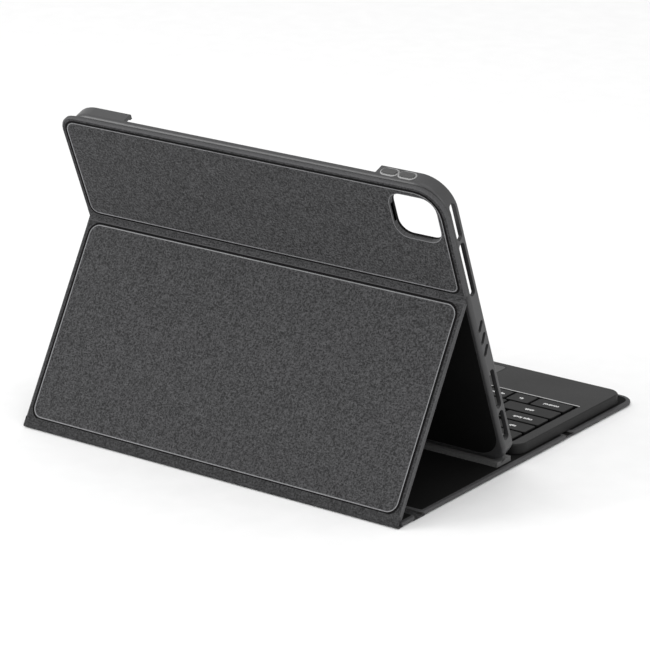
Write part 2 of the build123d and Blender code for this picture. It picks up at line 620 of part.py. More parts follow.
with BuildPart() as scissor_clips:
    with BuildSketch(keyboard_plane(membrane_top_z)):
        with Locations(*[(x, y) for x, y, width in key_places.values()]):
            Rectangle(*CLIP_SIZE)
            Rectangle(CLIP_SIZE[0] - 2 * CLIP_BAR, CLIP_SIZE[1] - 2 * CLIP_BAR, mode=Mode.SUBTRACT)
    extrude(amount=CLIP_HEIGHT)
save(scissor_clips, "scissor_clips")


def key_caps(name, places):
    """Hollow key caps at these places, each a crown on a skirt."""
    with BuildPart() as caps:
        for x, y, width in places:
            with BuildSketch(keyboard_plane(key_bottom_z)):
                with Locations((x, y)):
                    RectangleRounded(width, key_depth, KEY_CORNER)
            extrude(amount=KEY_HEIGHT)
        chamfer(caps.faces().group_by(Axis.Z)[-1].edges(), KEY_CHAMFER)
        for x, y, width in places:
            with BuildSketch(keyboard_plane(key_bottom_z)):
                with Locations((x, y)):
                    RectangleRounded(
                        width - 2 * KEY_SKIRT, key_depth - 2 * KEY_SKIRT, KEY_CORNER - KEY_SKIRT
                    )
            extrude(amount=KEY_HEIGHT - KEY_CROWN, mode=Mode.SUBTRACT)
    save(caps, name)


for place, single_name in SINGLE_KEYS.items():
    key_caps(single_name, [key_places[place]])
for row, row_name in enumerate(ROW_NAMES):
    row_places = [place for place in key_places if place[0] == row and place not in SINGLE_KEYS]
    key_caps(row_name, [key_places[place] for place in row_places])

with BuildPart() as touchpad:
    with BuildSketch(keyboard_plane(case_top_z - TOUCHPAD_THICK)):
        with Locations((0, touchpad_middle)):
            RectangleRounded(TOUCHPAD_WIDTH, TOUCHPAD_DEPTH, TOUCHPAD_CORNER)
    extrude(amount=TOUCHPAD_THICK)
save(touchpad, "touchpad")

with BuildPart() as battery:
    with Locations((-PART_OFFSET_X, CENTRE_Y + palm_middle, floor_top_z + CASE_CLEARANCE)):
        Box(*BATTERY, align=(Align.CENTER, Align.CENTER, Align.MIN))
    fillet(battery.edges().filter_by(Axis.Y), BATTERY_ROUND)
save(battery, "battery")

with BuildPart() as main_circuit_board:
    board_z = floor_top_z + CIRCUIT_BOARD_LIFT
    with Locations((PART_OFFSET_X, CENTRE_Y + palm_middle, board_z)):
        Box(*CIRCUIT_BOARD, align=(Align.CENTER, Align.CENTER, Align.MIN))
    with Locations((PART_OFFSET_X, CENTRE_Y + palm_middle, board_z + CIRCUIT_BOARD[2])):
        with GridLocations(
            CIRCUIT_BOARD[0] / CHIP_COLUMNS, CIRCUIT_BOARD[1] / CHIP_ROWS, CHIP_COLUMNS, CHIP_ROWS
        ):
            Box(*CHIP, align=(Align.CENTER, Align.CENTER, Align.MIN))
save(main_circuit_board, "main_circuit_board")

with BuildPart() as keyboard_magnets:
    with Locations(*[(x, CENTRE_Y + well_middle + y, floor_top_z) for x, y in KEYBOARD_MAGNETS]):
        Box(*KEYBOARD_MAGNET, align=(Align.CENTER, Align.CENTER, Align.MIN))
save(keyboard_magnets, "keyboard_magnets")

with BuildPart() as charge_port:
    with BuildSketch(side_plane):
        with Locations((CENTRE_Y + keyboard_high - PORT_FROM_REAR, keyboard_z + KEYBOARD_HEIGHT / 2)):
            SlotOverall(PORT_SIZE[0], PORT_SIZE[1])
            SlotOverall(PORT_SIZE[0] - 2 * PORT_WALL, PORT_SIZE[1] - 2 * PORT_WALL, mode=Mode.SUBTRACT)
    extrude(amount=-PORT_SIZE[2])
save(charge_port, "charge_port")

with BuildPart() as power_switch:
    with BuildSketch(side_plane.offset(SWITCH_PROUD)):
        with Locations(
            (
                CENTRE_Y + keyboard_high - SWITCH_FROM_REAR - (SWITCH_SLOT[0] - SWITCH_KNOB[0]) / 2 + SWITCH_END_GAP,
                keyboard_z + KEYBOARD_HEIGHT / 2,
            )
        ):
            SlotOverall(*SWITCH_KNOB)
    extrude(amount=-(CASE_WALL + SWITCH_PROUD))
save(power_switch, "power_switch")

with BuildPart() as status_lights:
    with BuildSketch(keyboard_plane(case_top_z - CASE_TOP)):
        with Locations(*[(x, (well_high + keyboard_high) / 2) for x in LIGHT_CENTRES_X]):
            Circle(LIGHT_RADIUS)
    extrude(amount=CASE_TOP)
save(status_lights, "status_lights")
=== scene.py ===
# %% [markdown]
# A tablet keyboard case stands as an easel: a stiff folding cover, a flexible tray for
# the tablet, and a slim keyboard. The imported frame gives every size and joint, so this
# lesson only adds what a maker sees and touches: skins, folds, legends and finishes.

# %% Load the frame
import json
import math

import bmesh
import bpy
from mathutils import Matrix, Vector


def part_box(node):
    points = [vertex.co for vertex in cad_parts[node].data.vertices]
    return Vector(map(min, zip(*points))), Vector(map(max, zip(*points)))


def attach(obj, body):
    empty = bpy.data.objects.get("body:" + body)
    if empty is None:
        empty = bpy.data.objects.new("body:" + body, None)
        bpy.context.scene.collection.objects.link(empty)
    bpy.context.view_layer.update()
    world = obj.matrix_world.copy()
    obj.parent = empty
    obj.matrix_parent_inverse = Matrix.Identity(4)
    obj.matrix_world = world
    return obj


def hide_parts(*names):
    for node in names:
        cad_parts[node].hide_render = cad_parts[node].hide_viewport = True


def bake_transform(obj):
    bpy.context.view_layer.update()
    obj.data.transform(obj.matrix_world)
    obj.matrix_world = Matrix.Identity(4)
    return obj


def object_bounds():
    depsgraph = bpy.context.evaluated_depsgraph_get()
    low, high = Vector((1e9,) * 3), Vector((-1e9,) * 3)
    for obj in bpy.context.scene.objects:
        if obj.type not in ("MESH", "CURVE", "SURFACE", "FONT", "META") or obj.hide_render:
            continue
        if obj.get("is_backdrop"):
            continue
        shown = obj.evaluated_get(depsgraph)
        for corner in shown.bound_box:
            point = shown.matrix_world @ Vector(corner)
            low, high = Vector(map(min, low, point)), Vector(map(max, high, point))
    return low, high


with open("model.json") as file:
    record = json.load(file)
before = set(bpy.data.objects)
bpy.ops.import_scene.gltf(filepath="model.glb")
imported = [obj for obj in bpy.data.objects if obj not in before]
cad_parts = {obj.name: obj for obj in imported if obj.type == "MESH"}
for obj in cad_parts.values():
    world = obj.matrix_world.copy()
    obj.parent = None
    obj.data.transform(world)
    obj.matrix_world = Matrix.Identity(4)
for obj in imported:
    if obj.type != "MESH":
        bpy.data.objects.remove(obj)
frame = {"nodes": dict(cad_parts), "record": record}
cad_low, cad_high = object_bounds()
nodes = frame["nodes"]
bodies = frame["record"]["behaviour"]["bodies"]
joints = {joint["name"]: joint for joint in frame["record"]["behaviour"]["joints"]}
MM = 0.001
print("case", [round(v, 4) for v in cad_high - cad_low], "m,", len(nodes), "nodes")

# %% [markdown]
# The cover's panels lie in three planes: the base on the table, the stand panel leaning
# forward, and the upper panel with the tray leaning back. Each gets a place: a matrix
# from the panel's own x, along and inward directions to the frame. The hinges say where
# the folds are, so the places come from the joints and not from typed numbers.

# %% Places of the panels
kink = Vector(joints["spine_hinge"]["pos_m"])
foot = Vector(joints["stand_hinge"]["pos_m"])
crease = Vector(joints["crease_hinge"]["pos_m"])
tray_up = -Vector(joints["volume_up_press"]["axis"])
stand_up = (crease - foot).normalized()


def place(origin, along):
    """From a panel's own (x, along, inward) to the frame."""
    across = Vector((1, 0, 0))
    matrix = Matrix((across, along, across.cross(along))).transposed().to_4x4()
    matrix.translation = origin
    return matrix


base_place = place(foot, Vector((0, 1, 0)))
stand_place = place(foot, stand_up)
tray_place = place(crease, tray_up)


def own_box(node, matrix):
    """A node's lowest and highest corners in a panel's own directions."""
    turn = matrix.inverted()
    points = [turn @ vertex.co for vertex in nodes[node].data.vertices]
    low = Vector(min(p[i] for p in points) for i in range(3))
    high = Vector(max(p[i] for p in points) for i in range(3))
    return low, high


base_box = own_box("base_skin", base_place)
upper_box = own_box("upper_skin", tray_place)
HALF_WIDTH = base_box[1].x
STAND_LENGTH = (crease - foot).length
KINK = (kink - foot).y
print("base", round(base_box[1].y - base_box[0].y, 4), "stand", round(STAND_LENGTH, 4))

# %% [markdown]
# The camera looks from behind and the user's left with a long lens, a little tilted.
# Its aim is a point on its axis near the middle of the case.

# %% Camera
VIEW_AZIMUTH = math.radians(215.653)
VIEW_ELEVATION = math.radians(18.652)
VIEW_ROLL = math.radians(0.416)
VIEW_AIM = Vector((-0.1471, 0.2142, 0.1410))
VIEW_DISTANCE = 1.5649
LENS = 181.8

back = Vector((
    math.sin(VIEW_AZIMUTH) * math.cos(VIEW_ELEVATION),
    -math.cos(VIEW_AZIMUTH) * math.cos(VIEW_ELEVATION),
    math.sin(VIEW_ELEVATION),
))
level = Vector((0, 0, 1)).cross(back).normalized()
right = Matrix.Rotation(VIEW_ROLL, 3, back) @ level
camera_data = bpy.data.cameras.new("camera")
camera_data.lens = LENS
camera = bpy.data.objects.new("camera", camera_data)
turn = Matrix((right, back.cross(right), back)).transposed().to_4x4()
turn.translation = VIEW_AIM + back * VIEW_DISTANCE
camera.matrix_world = turn
bpy.context.collection.objects.link(camera)
bpy.context.scene.camera = camera
print("camera at", [round(v, 3) for v in camera.location])

# %% [markdown]
# Most finishes here are a dark stuff with a fine grain. The grain is a shader group, so
# that each material sets its own size and stretch. It gives one value over the surface,
# which then drives colour, roughness and bump together, as a real moulded grain does.

# %% Grain group
def new_group(name, inputs, outputs):
    """A shader node group with named float or vector sockets."""
    group = bpy.data.node_groups.new(name, "ShaderNodeTree")
    for socket, kind, value in inputs:
        made = group.interface.new_socket(socket, in_out="INPUT", socket_type=kind)
        if value is not None:
            made.default_value = value
    for socket in outputs:
        group.interface.new_socket(socket, in_out="OUTPUT", socket_type="NodeSocketFloat")
    return group, group.nodes.new("NodeGroupInput"), group.nodes.new("NodeGroupOutput")


def math_node(tree, operation, first, second):
    """A maths node; each operand is a socket or a number."""
    node = tree.nodes.new("ShaderNodeMath")
    node.operation = operation
    for socket, value in zip(node.inputs, (first, second)):
        if isinstance(value, (int, float)):
            socket.default_value = value
        else:
            tree.links.new(value, socket)
    return node.outputs[0]


def noise(tree, vector, scale, detail=3.0):
    """A noise texture's value."""
    node = tree.nodes.new("ShaderNodeTexNoise")
    node.inputs["Detail"].default_value = detail
    tree.links.new(vector, node.inputs["Vector"])
    if isinstance(scale, (int, float)):
        node.inputs["Scale"].default_value = scale
    else:
        tree.links.new(scale, node.inputs["Scale"])
    return node.outputs[0]


def spread(tree, value, low, high):
    """Stretch a value's middle range to 0 to 1."""
    node = tree.nodes.new("ShaderNodeMapRange")
    node.inputs["From Min"].default_value = low
    node.inputs["From Max"].default_value = high
    tree.links.new(value, node.inputs["Value"])
    return node.outputs["Result"]


grain_group, group_in, group_out = new_group(
    "fine_grain",
    (("Vector", "NodeSocketVector", None), ("Scale", "NodeSocketFloat", 900.0)),
    ("Grain",),
)
fine = noise(grain_group, group_in.outputs["Vector"], group_in.outputs["Scale"])
wide = noise(grain_group, group_in.outputs["Vector"], 35.0, 2.0)
fine_share = math_node(grain_group, "MULTIPLY", fine, 0.75)
wide_share = math_node(grain_group, "MULTIPLY", wide, 0.25)
both = math_node(grain_group, "ADD", fine_share, wide_share)
grain_group.links.new(spread(grain_group, both, 0.36, 0.64), group_out.inputs["Grain"])
print("group", grain_group.name)

# %% [markdown]
# The cover's skin is a heathered synthetic leather: short light and dark threads run
# across and along the panel. Two noises, each stretched one way, and the brighter one
# of the two wins at each point. Panels tilt only about x, so stretching y and z alike
# runs the second set of threads along every panel.

# %% Heather group
heather_group, group_in, group_out = new_group(
    "heather",
    (("Vector", "NodeSocketVector", None), ("Scale", "NodeSocketFloat", 1100.0)),
    ("Threads",),
)


def stretched(tree, vector, scale):
    """A vector with its three parts scaled."""
    node = tree.nodes.new("ShaderNodeMapping")
    node.inputs["Scale"].default_value = scale
    tree.links.new(vector, node.inputs["Vector"])
    return node.outputs["Vector"]


point, thread_scale = group_in.outputs["Vector"], group_in.outputs["Scale"]
across = noise(heather_group, stretched(heather_group, point, (0.5, 1, 1)), thread_scale, 1.0)
along = noise(heather_group, stretched(heather_group, point, (1, 0.55, 0.55)), thread_scale, 1.0)
cloud = noise(heather_group, group_in.outputs["Vector"], 220.0)
longest = math_node(heather_group, "MAXIMUM", across, along)
threads = math_node(heather_group, "ADD", longest, math_node(heather_group, "MULTIPLY", cloud, 0.12))
heather_group.links.new(spread(heather_group, threads, 0.48, 0.80), group_out.inputs["Threads"])
print("group", heather_group.name)

# %% [markdown]
# One maker builds every finish from a group, two colours, a roughness range and a bump,
# so the materials differ only in their values. The Principled shader stays outside the
# group.

# %% Finish maker
def finish(name, dark, light, scale, rough, bump=0.1, metallic=0.0, group=grain_group, coat=0.0, gloss=0.3):
    """A procedural material whose grain drives its colour, roughness and bump."""
    material = bpy.data.materials.new(name)
    material.use_nodes = True
    tree = material.node_tree
    shader = tree.nodes["Principled BSDF"]
    place_node = tree.nodes.new("ShaderNodeTexCoord")
    grain = tree.nodes.new("ShaderNodeGroup")
    grain.node_tree = group
    grain.inputs["Scale"].default_value = scale
    tree.links.new(place_node.outputs["Object"], grain.inputs["Vector"])
    value = grain.outputs[0]
    mix = tree.nodes.new("ShaderNodeMix")
    mix.data_type = "RGBA"
    mix.inputs["A"].default_value = (*dark, 1)
    mix.inputs["B"].default_value = (*light, 1)
    tree.links.new(value, mix.inputs["Factor"])
    tree.links.new(mix.outputs["Result"], shader.inputs["Base Color"])
    ramp = tree.nodes.new("ShaderNodeMapRange")
    ramp.inputs["To Min"].default_value = rough[0]
    ramp.inputs["To Max"].default_value = rough[1]
    tree.links.new(value, ramp.inputs["Value"])
    tree.links.new(ramp.outputs["Result"], shader.inputs["Roughness"])
    relief = tree.nodes.new("ShaderNodeBump")
    relief.inputs["Strength"].default_value = bump
    relief.inputs["Distance"].default_value = 0.05 * MM
    tree.links.new(value, relief.inputs["Height"])
    tree.links.new(relief.outputs["Normal"], shader.inputs["Normal"])
    shader.inputs["Metallic"].default_value = metallic
    shader.inputs["Specular IOR Level"].default_value = gloss
    shader.inputs["Coat Weight"].default_value = coat
    return material


def grey(value, tint=0.0):
    """A grey with a little blue in it."""
    return (value, value, value * (1 + tint))


skin = finish(
    "skin", grey(0.015, 0.03), grey(0.072, 0.03), 1300.0, (0.75, 0.95), 0.3, group=heather_group, gloss=0.15
)
skin_border = finish(
    "skin_border", grey(0.012, 0.03), grey(0.052, 0.03), 1300.0, (0.75, 0.95), 0.3,
    group=heather_group, gloss=0.15,
)
skin_edge = finish("skin_edge", grey(0.04, 0.03), grey(0.07, 0.03), 1400.0, (0.6, 0.8), 0.2)
skin_ridge = finish("skin_ridge", grey(0.11, 0.03), grey(0.19, 0.03), 1400.0, (0.45, 0.6), 0.1)
# Painted shade: the groove round each raised field is coloured near-black for the shadow inside it.
groove_painted_shade = finish("groove_painted_shade", grey(0.003), grey(0.006), 1400.0, (0.8, 0.95), 0.1, gloss=0.1)
# The lining is near-black cloth, made darker still as painted shade for its shadowed inside between the
# stand and the tray.
lining = finish("lining", grey(0.004), grey(0.007), 2500.0, (0.9, 1.0), 0.15, gloss=0.1)
lining_edge = finish("lining_edge", grey(0.012), grey(0.02), 2500.0, (0.7, 0.85), 0.15)
legend_white = finish("legend_white", grey(0.62), grey(0.75), 2500.0, (0.5, 0.6), 0.02)
# Painted highlight: the bright strip along the key well stands in for the light caught by the well's
# chamfered edge.
well_edge_painted_highlight = finish("well_edge_painted_highlight", grey(0.45), grey(0.55), 2500.0, (0.25, 0.35), 0.02, metallic=0.4)
# Painted highlight: the raised rims round the volume buttons are coloured light grey for the highlights on
# their edges.
button_rim_painted_highlight = finish("button_rim_painted_highlight", grey(0.25), grey(0.32), 1500.0, (0.2, 0.3), 0.05)
SLOT_FINISHES = {
    "cover_skin": skin,
    "cover_lining": lining,
    "stiff_board": finish("stiff_board", (0.022, 0.021, 0.020), (0.034, 0.033, 0.031), 500.0, (0.8, 0.9)),
    "tray_rubber": finish(
        "tray_rubber", grey(0.030, 0.03), grey(0.040, 0.03), 2200.0, (0.34, 0.44), 0.08, gloss=0.5
    ),
    # Painted shade: the tray's plastic floor is made near-black for the shade on its back, between the tray
    # and the stand.
    "tray_plastic": finish("tray_plastic", grey(0.003), grey(0.005), 1800.0, (0.7, 0.8), 0.1, gloss=0.1),
    "strip_skin": finish("strip_skin", grey(0.075), grey(0.11), 1400.0, (0.55, 0.7), 0.15),
    "button_rubber": finish("button_rubber", grey(0.05), grey(0.07), 2200.0, (0.4, 0.5), 0.05),
    "magnet": finish("magnet", grey(0.32), grey(0.36), 900.0, (0.35, 0.45), 0.02, metallic=1.0),
    "steel": finish("steel", grey(0.45), grey(0.55), 700.0, (0.3, 0.45), 0.05, metallic=1.0),
    "keyboard_case": finish(
        "keyboard_case", grey(0.007), grey(0.010), 2400.0, (0.45, 0.55), 0.12, gloss=0.22
    ),
    "key_plastic": finish("key_plastic", grey(0.002), grey(0.004), 2600.0, (0.5, 0.6), 0.06, gloss=0.2),
    "dome_rubber": finish("dome_rubber", grey(0.4), grey(0.5), 1500.0, (0.5, 0.6)),
    "membrane": finish("membrane", grey(0.008), grey(0.012), 900.0, (0.5, 0.6)),
    "clip_plastic": finish("clip_plastic", grey(0.04), grey(0.06), 1500.0, (0.4, 0.5)),
    "battery_wrap": finish("battery_wrap", grey(0.45), grey(0.55), 900.0, (0.3, 0.4), metallic=0.8),
    "circuit": finish("circuit", (0.006, 0.05, 0.02), (0.01, 0.08, 0.03), 1200.0, (0.3, 0.4), coat=0.3),
    "light_pipe": finish("light_pipe", grey(0.5), grey(0.6), 1500.0, (0.1, 0.2)),
    "touch_surface": finish("touch_surface", grey(0.016), grey(0.02), 2600.0, (0.3, 0.36), 0.02),
    "switch_plastic": finish("switch_plastic", grey(0.02), grey(0.03), 1500.0, (0.4, 0.5)),
}
for part in frame["record"]["subparts"]:
    node = nodes[part["node"]]
    node.data.materials.clear()
    node.data.materials.append(SLOT_FINISHES[part["material_slot"]])
print(len(bpy.data.materials), "materials")

# %% [markdown]
# A pressed panel is a slab whose outline steps inward at each height. Every step is one
# loop: a grid face whose corners are rounded by a vertex bevel. Bridging the loops makes
# the walls, and the first and last loop are filled. The same maker does slabs, raised
# boards and linings.

# %% Panel maker
CORNER_STEPS = 6
LEAST_CORNER = 0.2


def new_object(name, made, finishes):
    """An object from a finished bmesh, faces turned outwards."""
    bmesh.ops.recalc_face_normals(made, faces=made.faces)
    mesh = bpy.data.meshes.new(name)
    made.to_mesh(mesh)
    made.free()
    for material in finishes:
        mesh.materials.append(material)
    mesh.shade_smooth()
    mesh.set_sharp_from_angle(angle=math.radians(40))
    thing = bpy.data.objects.new(name, mesh)
    bpy.context.collection.objects.link(thing)
    return thing


def loop(made, span, low, high, corners, height):
    """A closed loop of edges: a rectangle with corners rounded by a vertex bevel, in millimetres."""
    before = set(made.edges)
    points = bmesh.ops.create_grid(made, x_segments=1, y_segments=1, size=1)["verts"]
    bmesh.ops.scale(made, vec=((span[1] - span[0]) / 2, (high - low) / 2, 1), verts=points)
    bmesh.ops.translate(made, vec=((span[0] + span[1]) / 2, (low + high) / 2, height), verts=points)
    points.sort(key=lambda point: (round(point.co.y, 3), point.co.x))
    for point, radius in zip(points, corners):
        bmesh.ops.bevel(
            made, geom=[point], offset=max(radius, LEAST_CORNER), offset_type="OFFSET",
            segments=CORNER_STEPS, profile=0.5, affect="VERTICES", material=-1,
        )
    edges = [edge for edge in made.edges if edge not in before]
    faces = list({face for edge in edges for face in edge.link_faces})
    bmesh.ops.delete(made, geom=faces, context="FACES_ONLY")
    return edges


def paint(faces, kind):
    """Give faces one of their object's finishes."""
    for face in faces:
        if isinstance(face, bmesh.types.BMFace):
            face.material_index = kind


def wall(made, rings):
    """Loops through rings of (shape, inset, height, finish index), no two at one height, bridged in turn."""
    loops = []
    for ((left, far), low, high, corners), inset, height, kind in rings:
        radii = [radius - inset for radius in corners]
        loops.append(loop(made, (left + inset, far - inset), low + inset, high - inset, radii, height))
        if len(loops) > 1:
            paint(bmesh.ops.bridge_loops(made, edges=loops[-2] + loops[-1])["faces"], kind)
    return loops


def stack(made, rings, hole=()):
    """A closed form through rings, capped at both ends; a hole's own rings run through it."""
    outer = wall(made, rings)
    inner = wall(made, hole) if hole else [[], []]
    for end, kind in ((0, rings[0][3]), (-1, rings[-1][3])):
        edges = outer[end] + inner[end]
        paint(
            bmesh.ops.triangle_fill(made, use_beauty=True, use_dissolve=not hole, edges=edges)["geom"], kind
        )


def ringed(shape, steps):
    """One shape's rings from its steps of (inset, height, finish index)."""
    return [(shape, *step) for step in steps]


def set_in(made, matrix):
    """Millimetres in a panel's own directions to metres in the frame."""
    bmesh.ops.scale(made, vec=(MM, MM, MM), verts=made.verts)
    bmesh.ops.transform(made, matrix=matrix, verts=made.verts)


W = HALF_WIDTH / MM
H = foot.z / MM
PLAIN = [0.6] * 4
SKIN_FINISHES = (skin, skin_edge, skin_ridge, groove_painted_shade, skin_border)
# The raised board pressed through the outside, from its field out: a burnished ridge, then a groove coloured
# near-black as painted shade
FIELD = (
    (1.1, 0.07 - H, 0), (0.9, 0.06 - H, 0), (0.7, -H, 2), (0.3, 0.02 - H, 2), (0.1, 0.42 - H, 3),
    (-0.85, 0.38 - H, 3), (-1.0, 0.2 - H, 3),
)
# The slab round it: flat border, a full round at the edge, then the turned-in hem and its recess
SLAB = (
    (0.9, 0.22 - H, 4), (0.45, 0.33 - H, 1), (0.12, 0.6 - H, 1), (0, -0.4, 1), (0, 0.4, 1),
    (0.12, H - 0.4, 1), (0.45, H - 0.1, 1), (0.9, H, 1), (2.4, H - 0.02, 1), (2.6, H - 0.35, 1),
)
LINING = ((0, H - 0.5, 0), (0, H - 0.12, 1), (0.2, H, 1), (0.7, H + 0.02, 0))
print("panel width", 2 * W, "mm")

# %% [markdown]
# The base is two stiff boards with a flex line between them, under one skin. Each board gives the skin a
# raised, rounded pad with a grey turned-in hem, and the near-black lining lies inside the hem, made darker
# still as painted shade. Both pads stand on one thin sheet that crosses the line.

# %% Base panel
FRONT = base_box[0].y / MM
KINK_MM = KINK / MM
BOARD_GAP = 3.0
flex_low = own_box("base_front_board", base_place)[1].y / MM
flex_high = own_box("base_rear_board", base_place)[0].y / MM
FRONT_CORNER = 10.0
PAD_CORNER = 3.5

base_pads = (
    (FRONT, flex_low, [FRONT_CORNER, FRONT_CORNER, PAD_CORNER, PAD_CORNER]),
    (flex_high, KINK_MM - BOARD_GAP, [PAD_CORNER] * 4),
)
made = bmesh.new()
for low, high, corners in base_pads:
    field = ((3.5 - W, W - 3.5), low + 3.5, high - 3, [6] * 4)
    stack(made, ringed(field, FIELD) + ringed(((-W, W), low, high, corners), SLAB))
SHEET = ((0.5, 0.25 - H, 1), (0, 0.6 - H, 1), (0, 1.0 - H, 1), (0.4, 1.2 - H, 1))
stack(made, ringed(((0.3 - W, W - 0.3), flex_low - 12, flex_high + 12, [2] * 4), SHEET))
set_in(made, base_place)
base_cover = new_object("base_cover_skin", made, SKIN_FINISHES)
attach(base_cover, "base")
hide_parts("base_skin")
made = bmesh.new()
for low, high, corners in base_pads:
    inner = [max(radius - 2.5, 0.8) for radius in corners]
    stack(made, ringed(((2.5 - W, W - 2.5), low + 2.5, high - 2.5, inner), LINING))
FLEX_CLOTH = ((0, 0.9 - H, 0), (0, 1.5 - H, 0))
stack(made, ringed(((1.2 - W, W - 1.2), flex_low - 4, flex_high + 4, PLAIN), FLEX_CLOTH))
set_in(made, base_place)
base_inside = new_object("base_inner_lining", made, (lining, lining_edge))
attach(base_inside, "base")
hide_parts("base_lining")
print("base pads", [(round(low, 1), round(high, 1)) for low, high, corners in base_pads])

# %% [markdown]
# The spine is the short strip behind the kink, and the stand panel rises from the fold
# at its end. Both are pads like the base's. The stand's outside shows its board as a
# field with rounded corners, low at the foot and close to the crease.

# %% Spine and stand panels
STAND = STAND_LENGTH / MM


def panel(name, matrix, body, low, high, corners, field, replaced):
    """Skin and lining of one panel between two folds."""
    made = bmesh.new()
    stack(made, ringed(field, FIELD) + ringed(((-W, W), low, high, corners), SLAB))
    set_in(made, matrix)
    outside = new_object(f"{name}_cover_skin", made, SKIN_FINISHES)
    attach(outside, body)
    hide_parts(f"{name}_skin")
    made = bmesh.new()
    stack(made, ringed(((2.5 - W, W - 2.5), low + 0.6, high - 0.6, PLAIN), LINING))
    set_in(made, matrix)
    inside = new_object(f"{name}_inner_lining", made, (lining, lining_edge))
    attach(inside, body)
    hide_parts(*replaced)
    return outside, inside


spine_pair = panel(
    "spine", base_place, "spine", KINK_MM + 2.4, -BOARD_GAP, [PAD_CORNER, PAD_CORNER, 0.6, 0.6],
    ((3.5 - W, W - 3.5), KINK_MM + 4.5, -5, [2] * 4), ("spine_lining",),
)
STAND_FIELD = ((3.6 - W, W - 3.6), 5.4, STAND - 3.9, [6.5] * 4)
stand_pair = panel(
    "stand", stand_place, "stand", 2.7, STAND - 1.9, [2, 2, 0.6, 0.6], STAND_FIELD, ("stand_lining",)
)
print("stand field", [round(v, 1) for v in STAND_FIELD[1:3]])

# %% [markdown]
# The upper panel is glued to the tray, so it has no lining. Its skin wraps a thicker
# board, with a large round at the camera's corner, and both the skin and the raised
# field stop at the camera cut-out.

# %% Upper panel
UPPER_HIGH = upper_box[1].y / MM
UPPER_IN = upper_box[1].z / MM
CAMERA = ((-120.7, -91.7), UPPER_HIGH - 33.7, UPPER_HIGH - 6.3, [8.0] * 4)
UPPER_FIELD = ((3.5 - W, W - 3.5), 3.9, UPPER_HIGH - 3.0, [5.0, 5.0, 14.5, 7.0])
UPPER_SLAB = (
    (0.9, 0.22 - H, 4), (0.45, 0.33 - H, 1), (0.12, 0.6 - H, 1), (0, -0.4, 1), (0, UPPER_IN - 0.6, 1),
    (0.3, UPPER_IN - 0.02, 1),
)
CAMERA_WALL = ((-0.6, 0.07 - H, 2), (-0.25, 0.08 - H, 2), (0, 0.4 - H, 1), (0, UPPER_IN - 0.02, 1))
upper_shape = ((-W, W), 1.9, UPPER_HIGH, [0.6, 0.6, 17.5, 10.0])
made = bmesh.new()
stack(made, ringed(UPPER_FIELD, FIELD) + ringed(upper_shape, UPPER_SLAB), ringed(CAMERA, CAMERA_WALL))
set_in(made, tray_place)
upper_cover = new_object("upper_cover_skin", made, SKIN_FINISHES)
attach(upper_cover, "tray")
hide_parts("upper_skin")
print("upper panel", round(UPPER_HIGH, 1), "mm high")

# %% [markdown]
# At each fold the skin runs on without a board. The strip is one section, a thin wide rectangle, extruded
# from place to place round the fold.

# %% Fold strips
FOLD_STEPS = 10


def between(first, second, pivot, share):
    """A place part of the way round a fold from one panel to the next."""
    turned = first.to_quaternion().slerp(second.to_quaternion(), share).to_matrix().to_4x4()
    turned.translation = pivot
    return turned


def fold_strip(
    name, stops, replaced=(), kind=0, half=W - 0.1, thick=(0.2 - H, 1.0 - H)
):
    """A strip of bare skin through stops of (place, distance along, shift inward)."""
    made = bmesh.new()
    section = bmesh.ops.create_grid(made, x_segments=1, y_segments=1, size=1)["verts"]
    bmesh.ops.scale(made, vec=(half * MM, (thick[1] - thick[0]) / 2 * MM, 1), verts=section)
    standing = Matrix.Rotation(math.radians(90), 4, "X")
    middle = sum(thick) / 2

    def stand_at(stop):
        matrix, along, shift = stop
        return matrix @ Matrix.Translation((0, along * MM, (middle + shift) * MM)) @ standing

    bmesh.ops.transform(made, matrix=stand_at(stops[0]), verts=section)
    face = section[0].link_faces[0]
    for stop, following in zip(stops, stops[1:]):
        grown = bmesh.ops.extrude_face_region(made, geom=[face])["geom"]
        moved = [item for item in grown if isinstance(item, bmesh.types.BMVert)]
        bmesh.ops.transform(made, matrix=stand_at(following) @ stand_at(stop).inverted(), verts=moved)
        if stop is not stops[0]:
            bmesh.ops.delete(made, geom=[face], context="FACES_ONLY")
        face = next(item for item in grown if isinstance(item, bmesh.types.BMFace))
    for item in made.faces:
        item.material_index = kind
    strip = new_object(name, made, SKIN_FINISHES)
    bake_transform(strip)
    if replaced:
        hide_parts(*replaced)
    return strip


foot_stops = [(stand_place, 5.0, 0), (stand_place, 2.5, 0), (stand_place, 0.01, 0)]
foot_stops += [
    (between(stand_place, base_place, foot, step / FOLD_STEPS), 0, 0) for step in range(1, FOLD_STEPS)
]
foot_stops += [(base_place, -0.01, 0), (base_place, -4.0, 0)]
foot_strip = fold_strip(
    "foot_fold_skin", foot_stops,
    ("foot_fold",), kind=4,
)
crease_stops = [(stand_place, STAND - 5.2, 0), (stand_place, STAND - 1.6, 0)]
crease_stops += [(between(stand_place, tray_place, crease, 0.5), 0, 0.05)]
crease_stops += [(tray_place, 1.6, 0), (tray_place, 5.2, 0)]
crease_strip = fold_strip(
    "crease_fold_skin", crease_stops,
    ("crease_fold",), thick=(0.55 - H, 1.3 - H),
)
kink_stops = [(base_place, KINK_MM + step, 0) for step in (-5, -3, -2, -1, -0.4, 0.4, 1, 2, 3, 5)]
kink_strip = fold_strip(
    "kink_fold_skin", kink_stops,
)
print("folds", [thing.name for thing in (foot_strip, crease_strip, kink_strip)])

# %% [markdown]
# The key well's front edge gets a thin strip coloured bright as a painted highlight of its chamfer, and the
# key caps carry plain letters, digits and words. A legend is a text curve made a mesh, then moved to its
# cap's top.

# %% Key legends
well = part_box("key_support_plate")
case_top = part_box("keyboard_top_case")[1].z
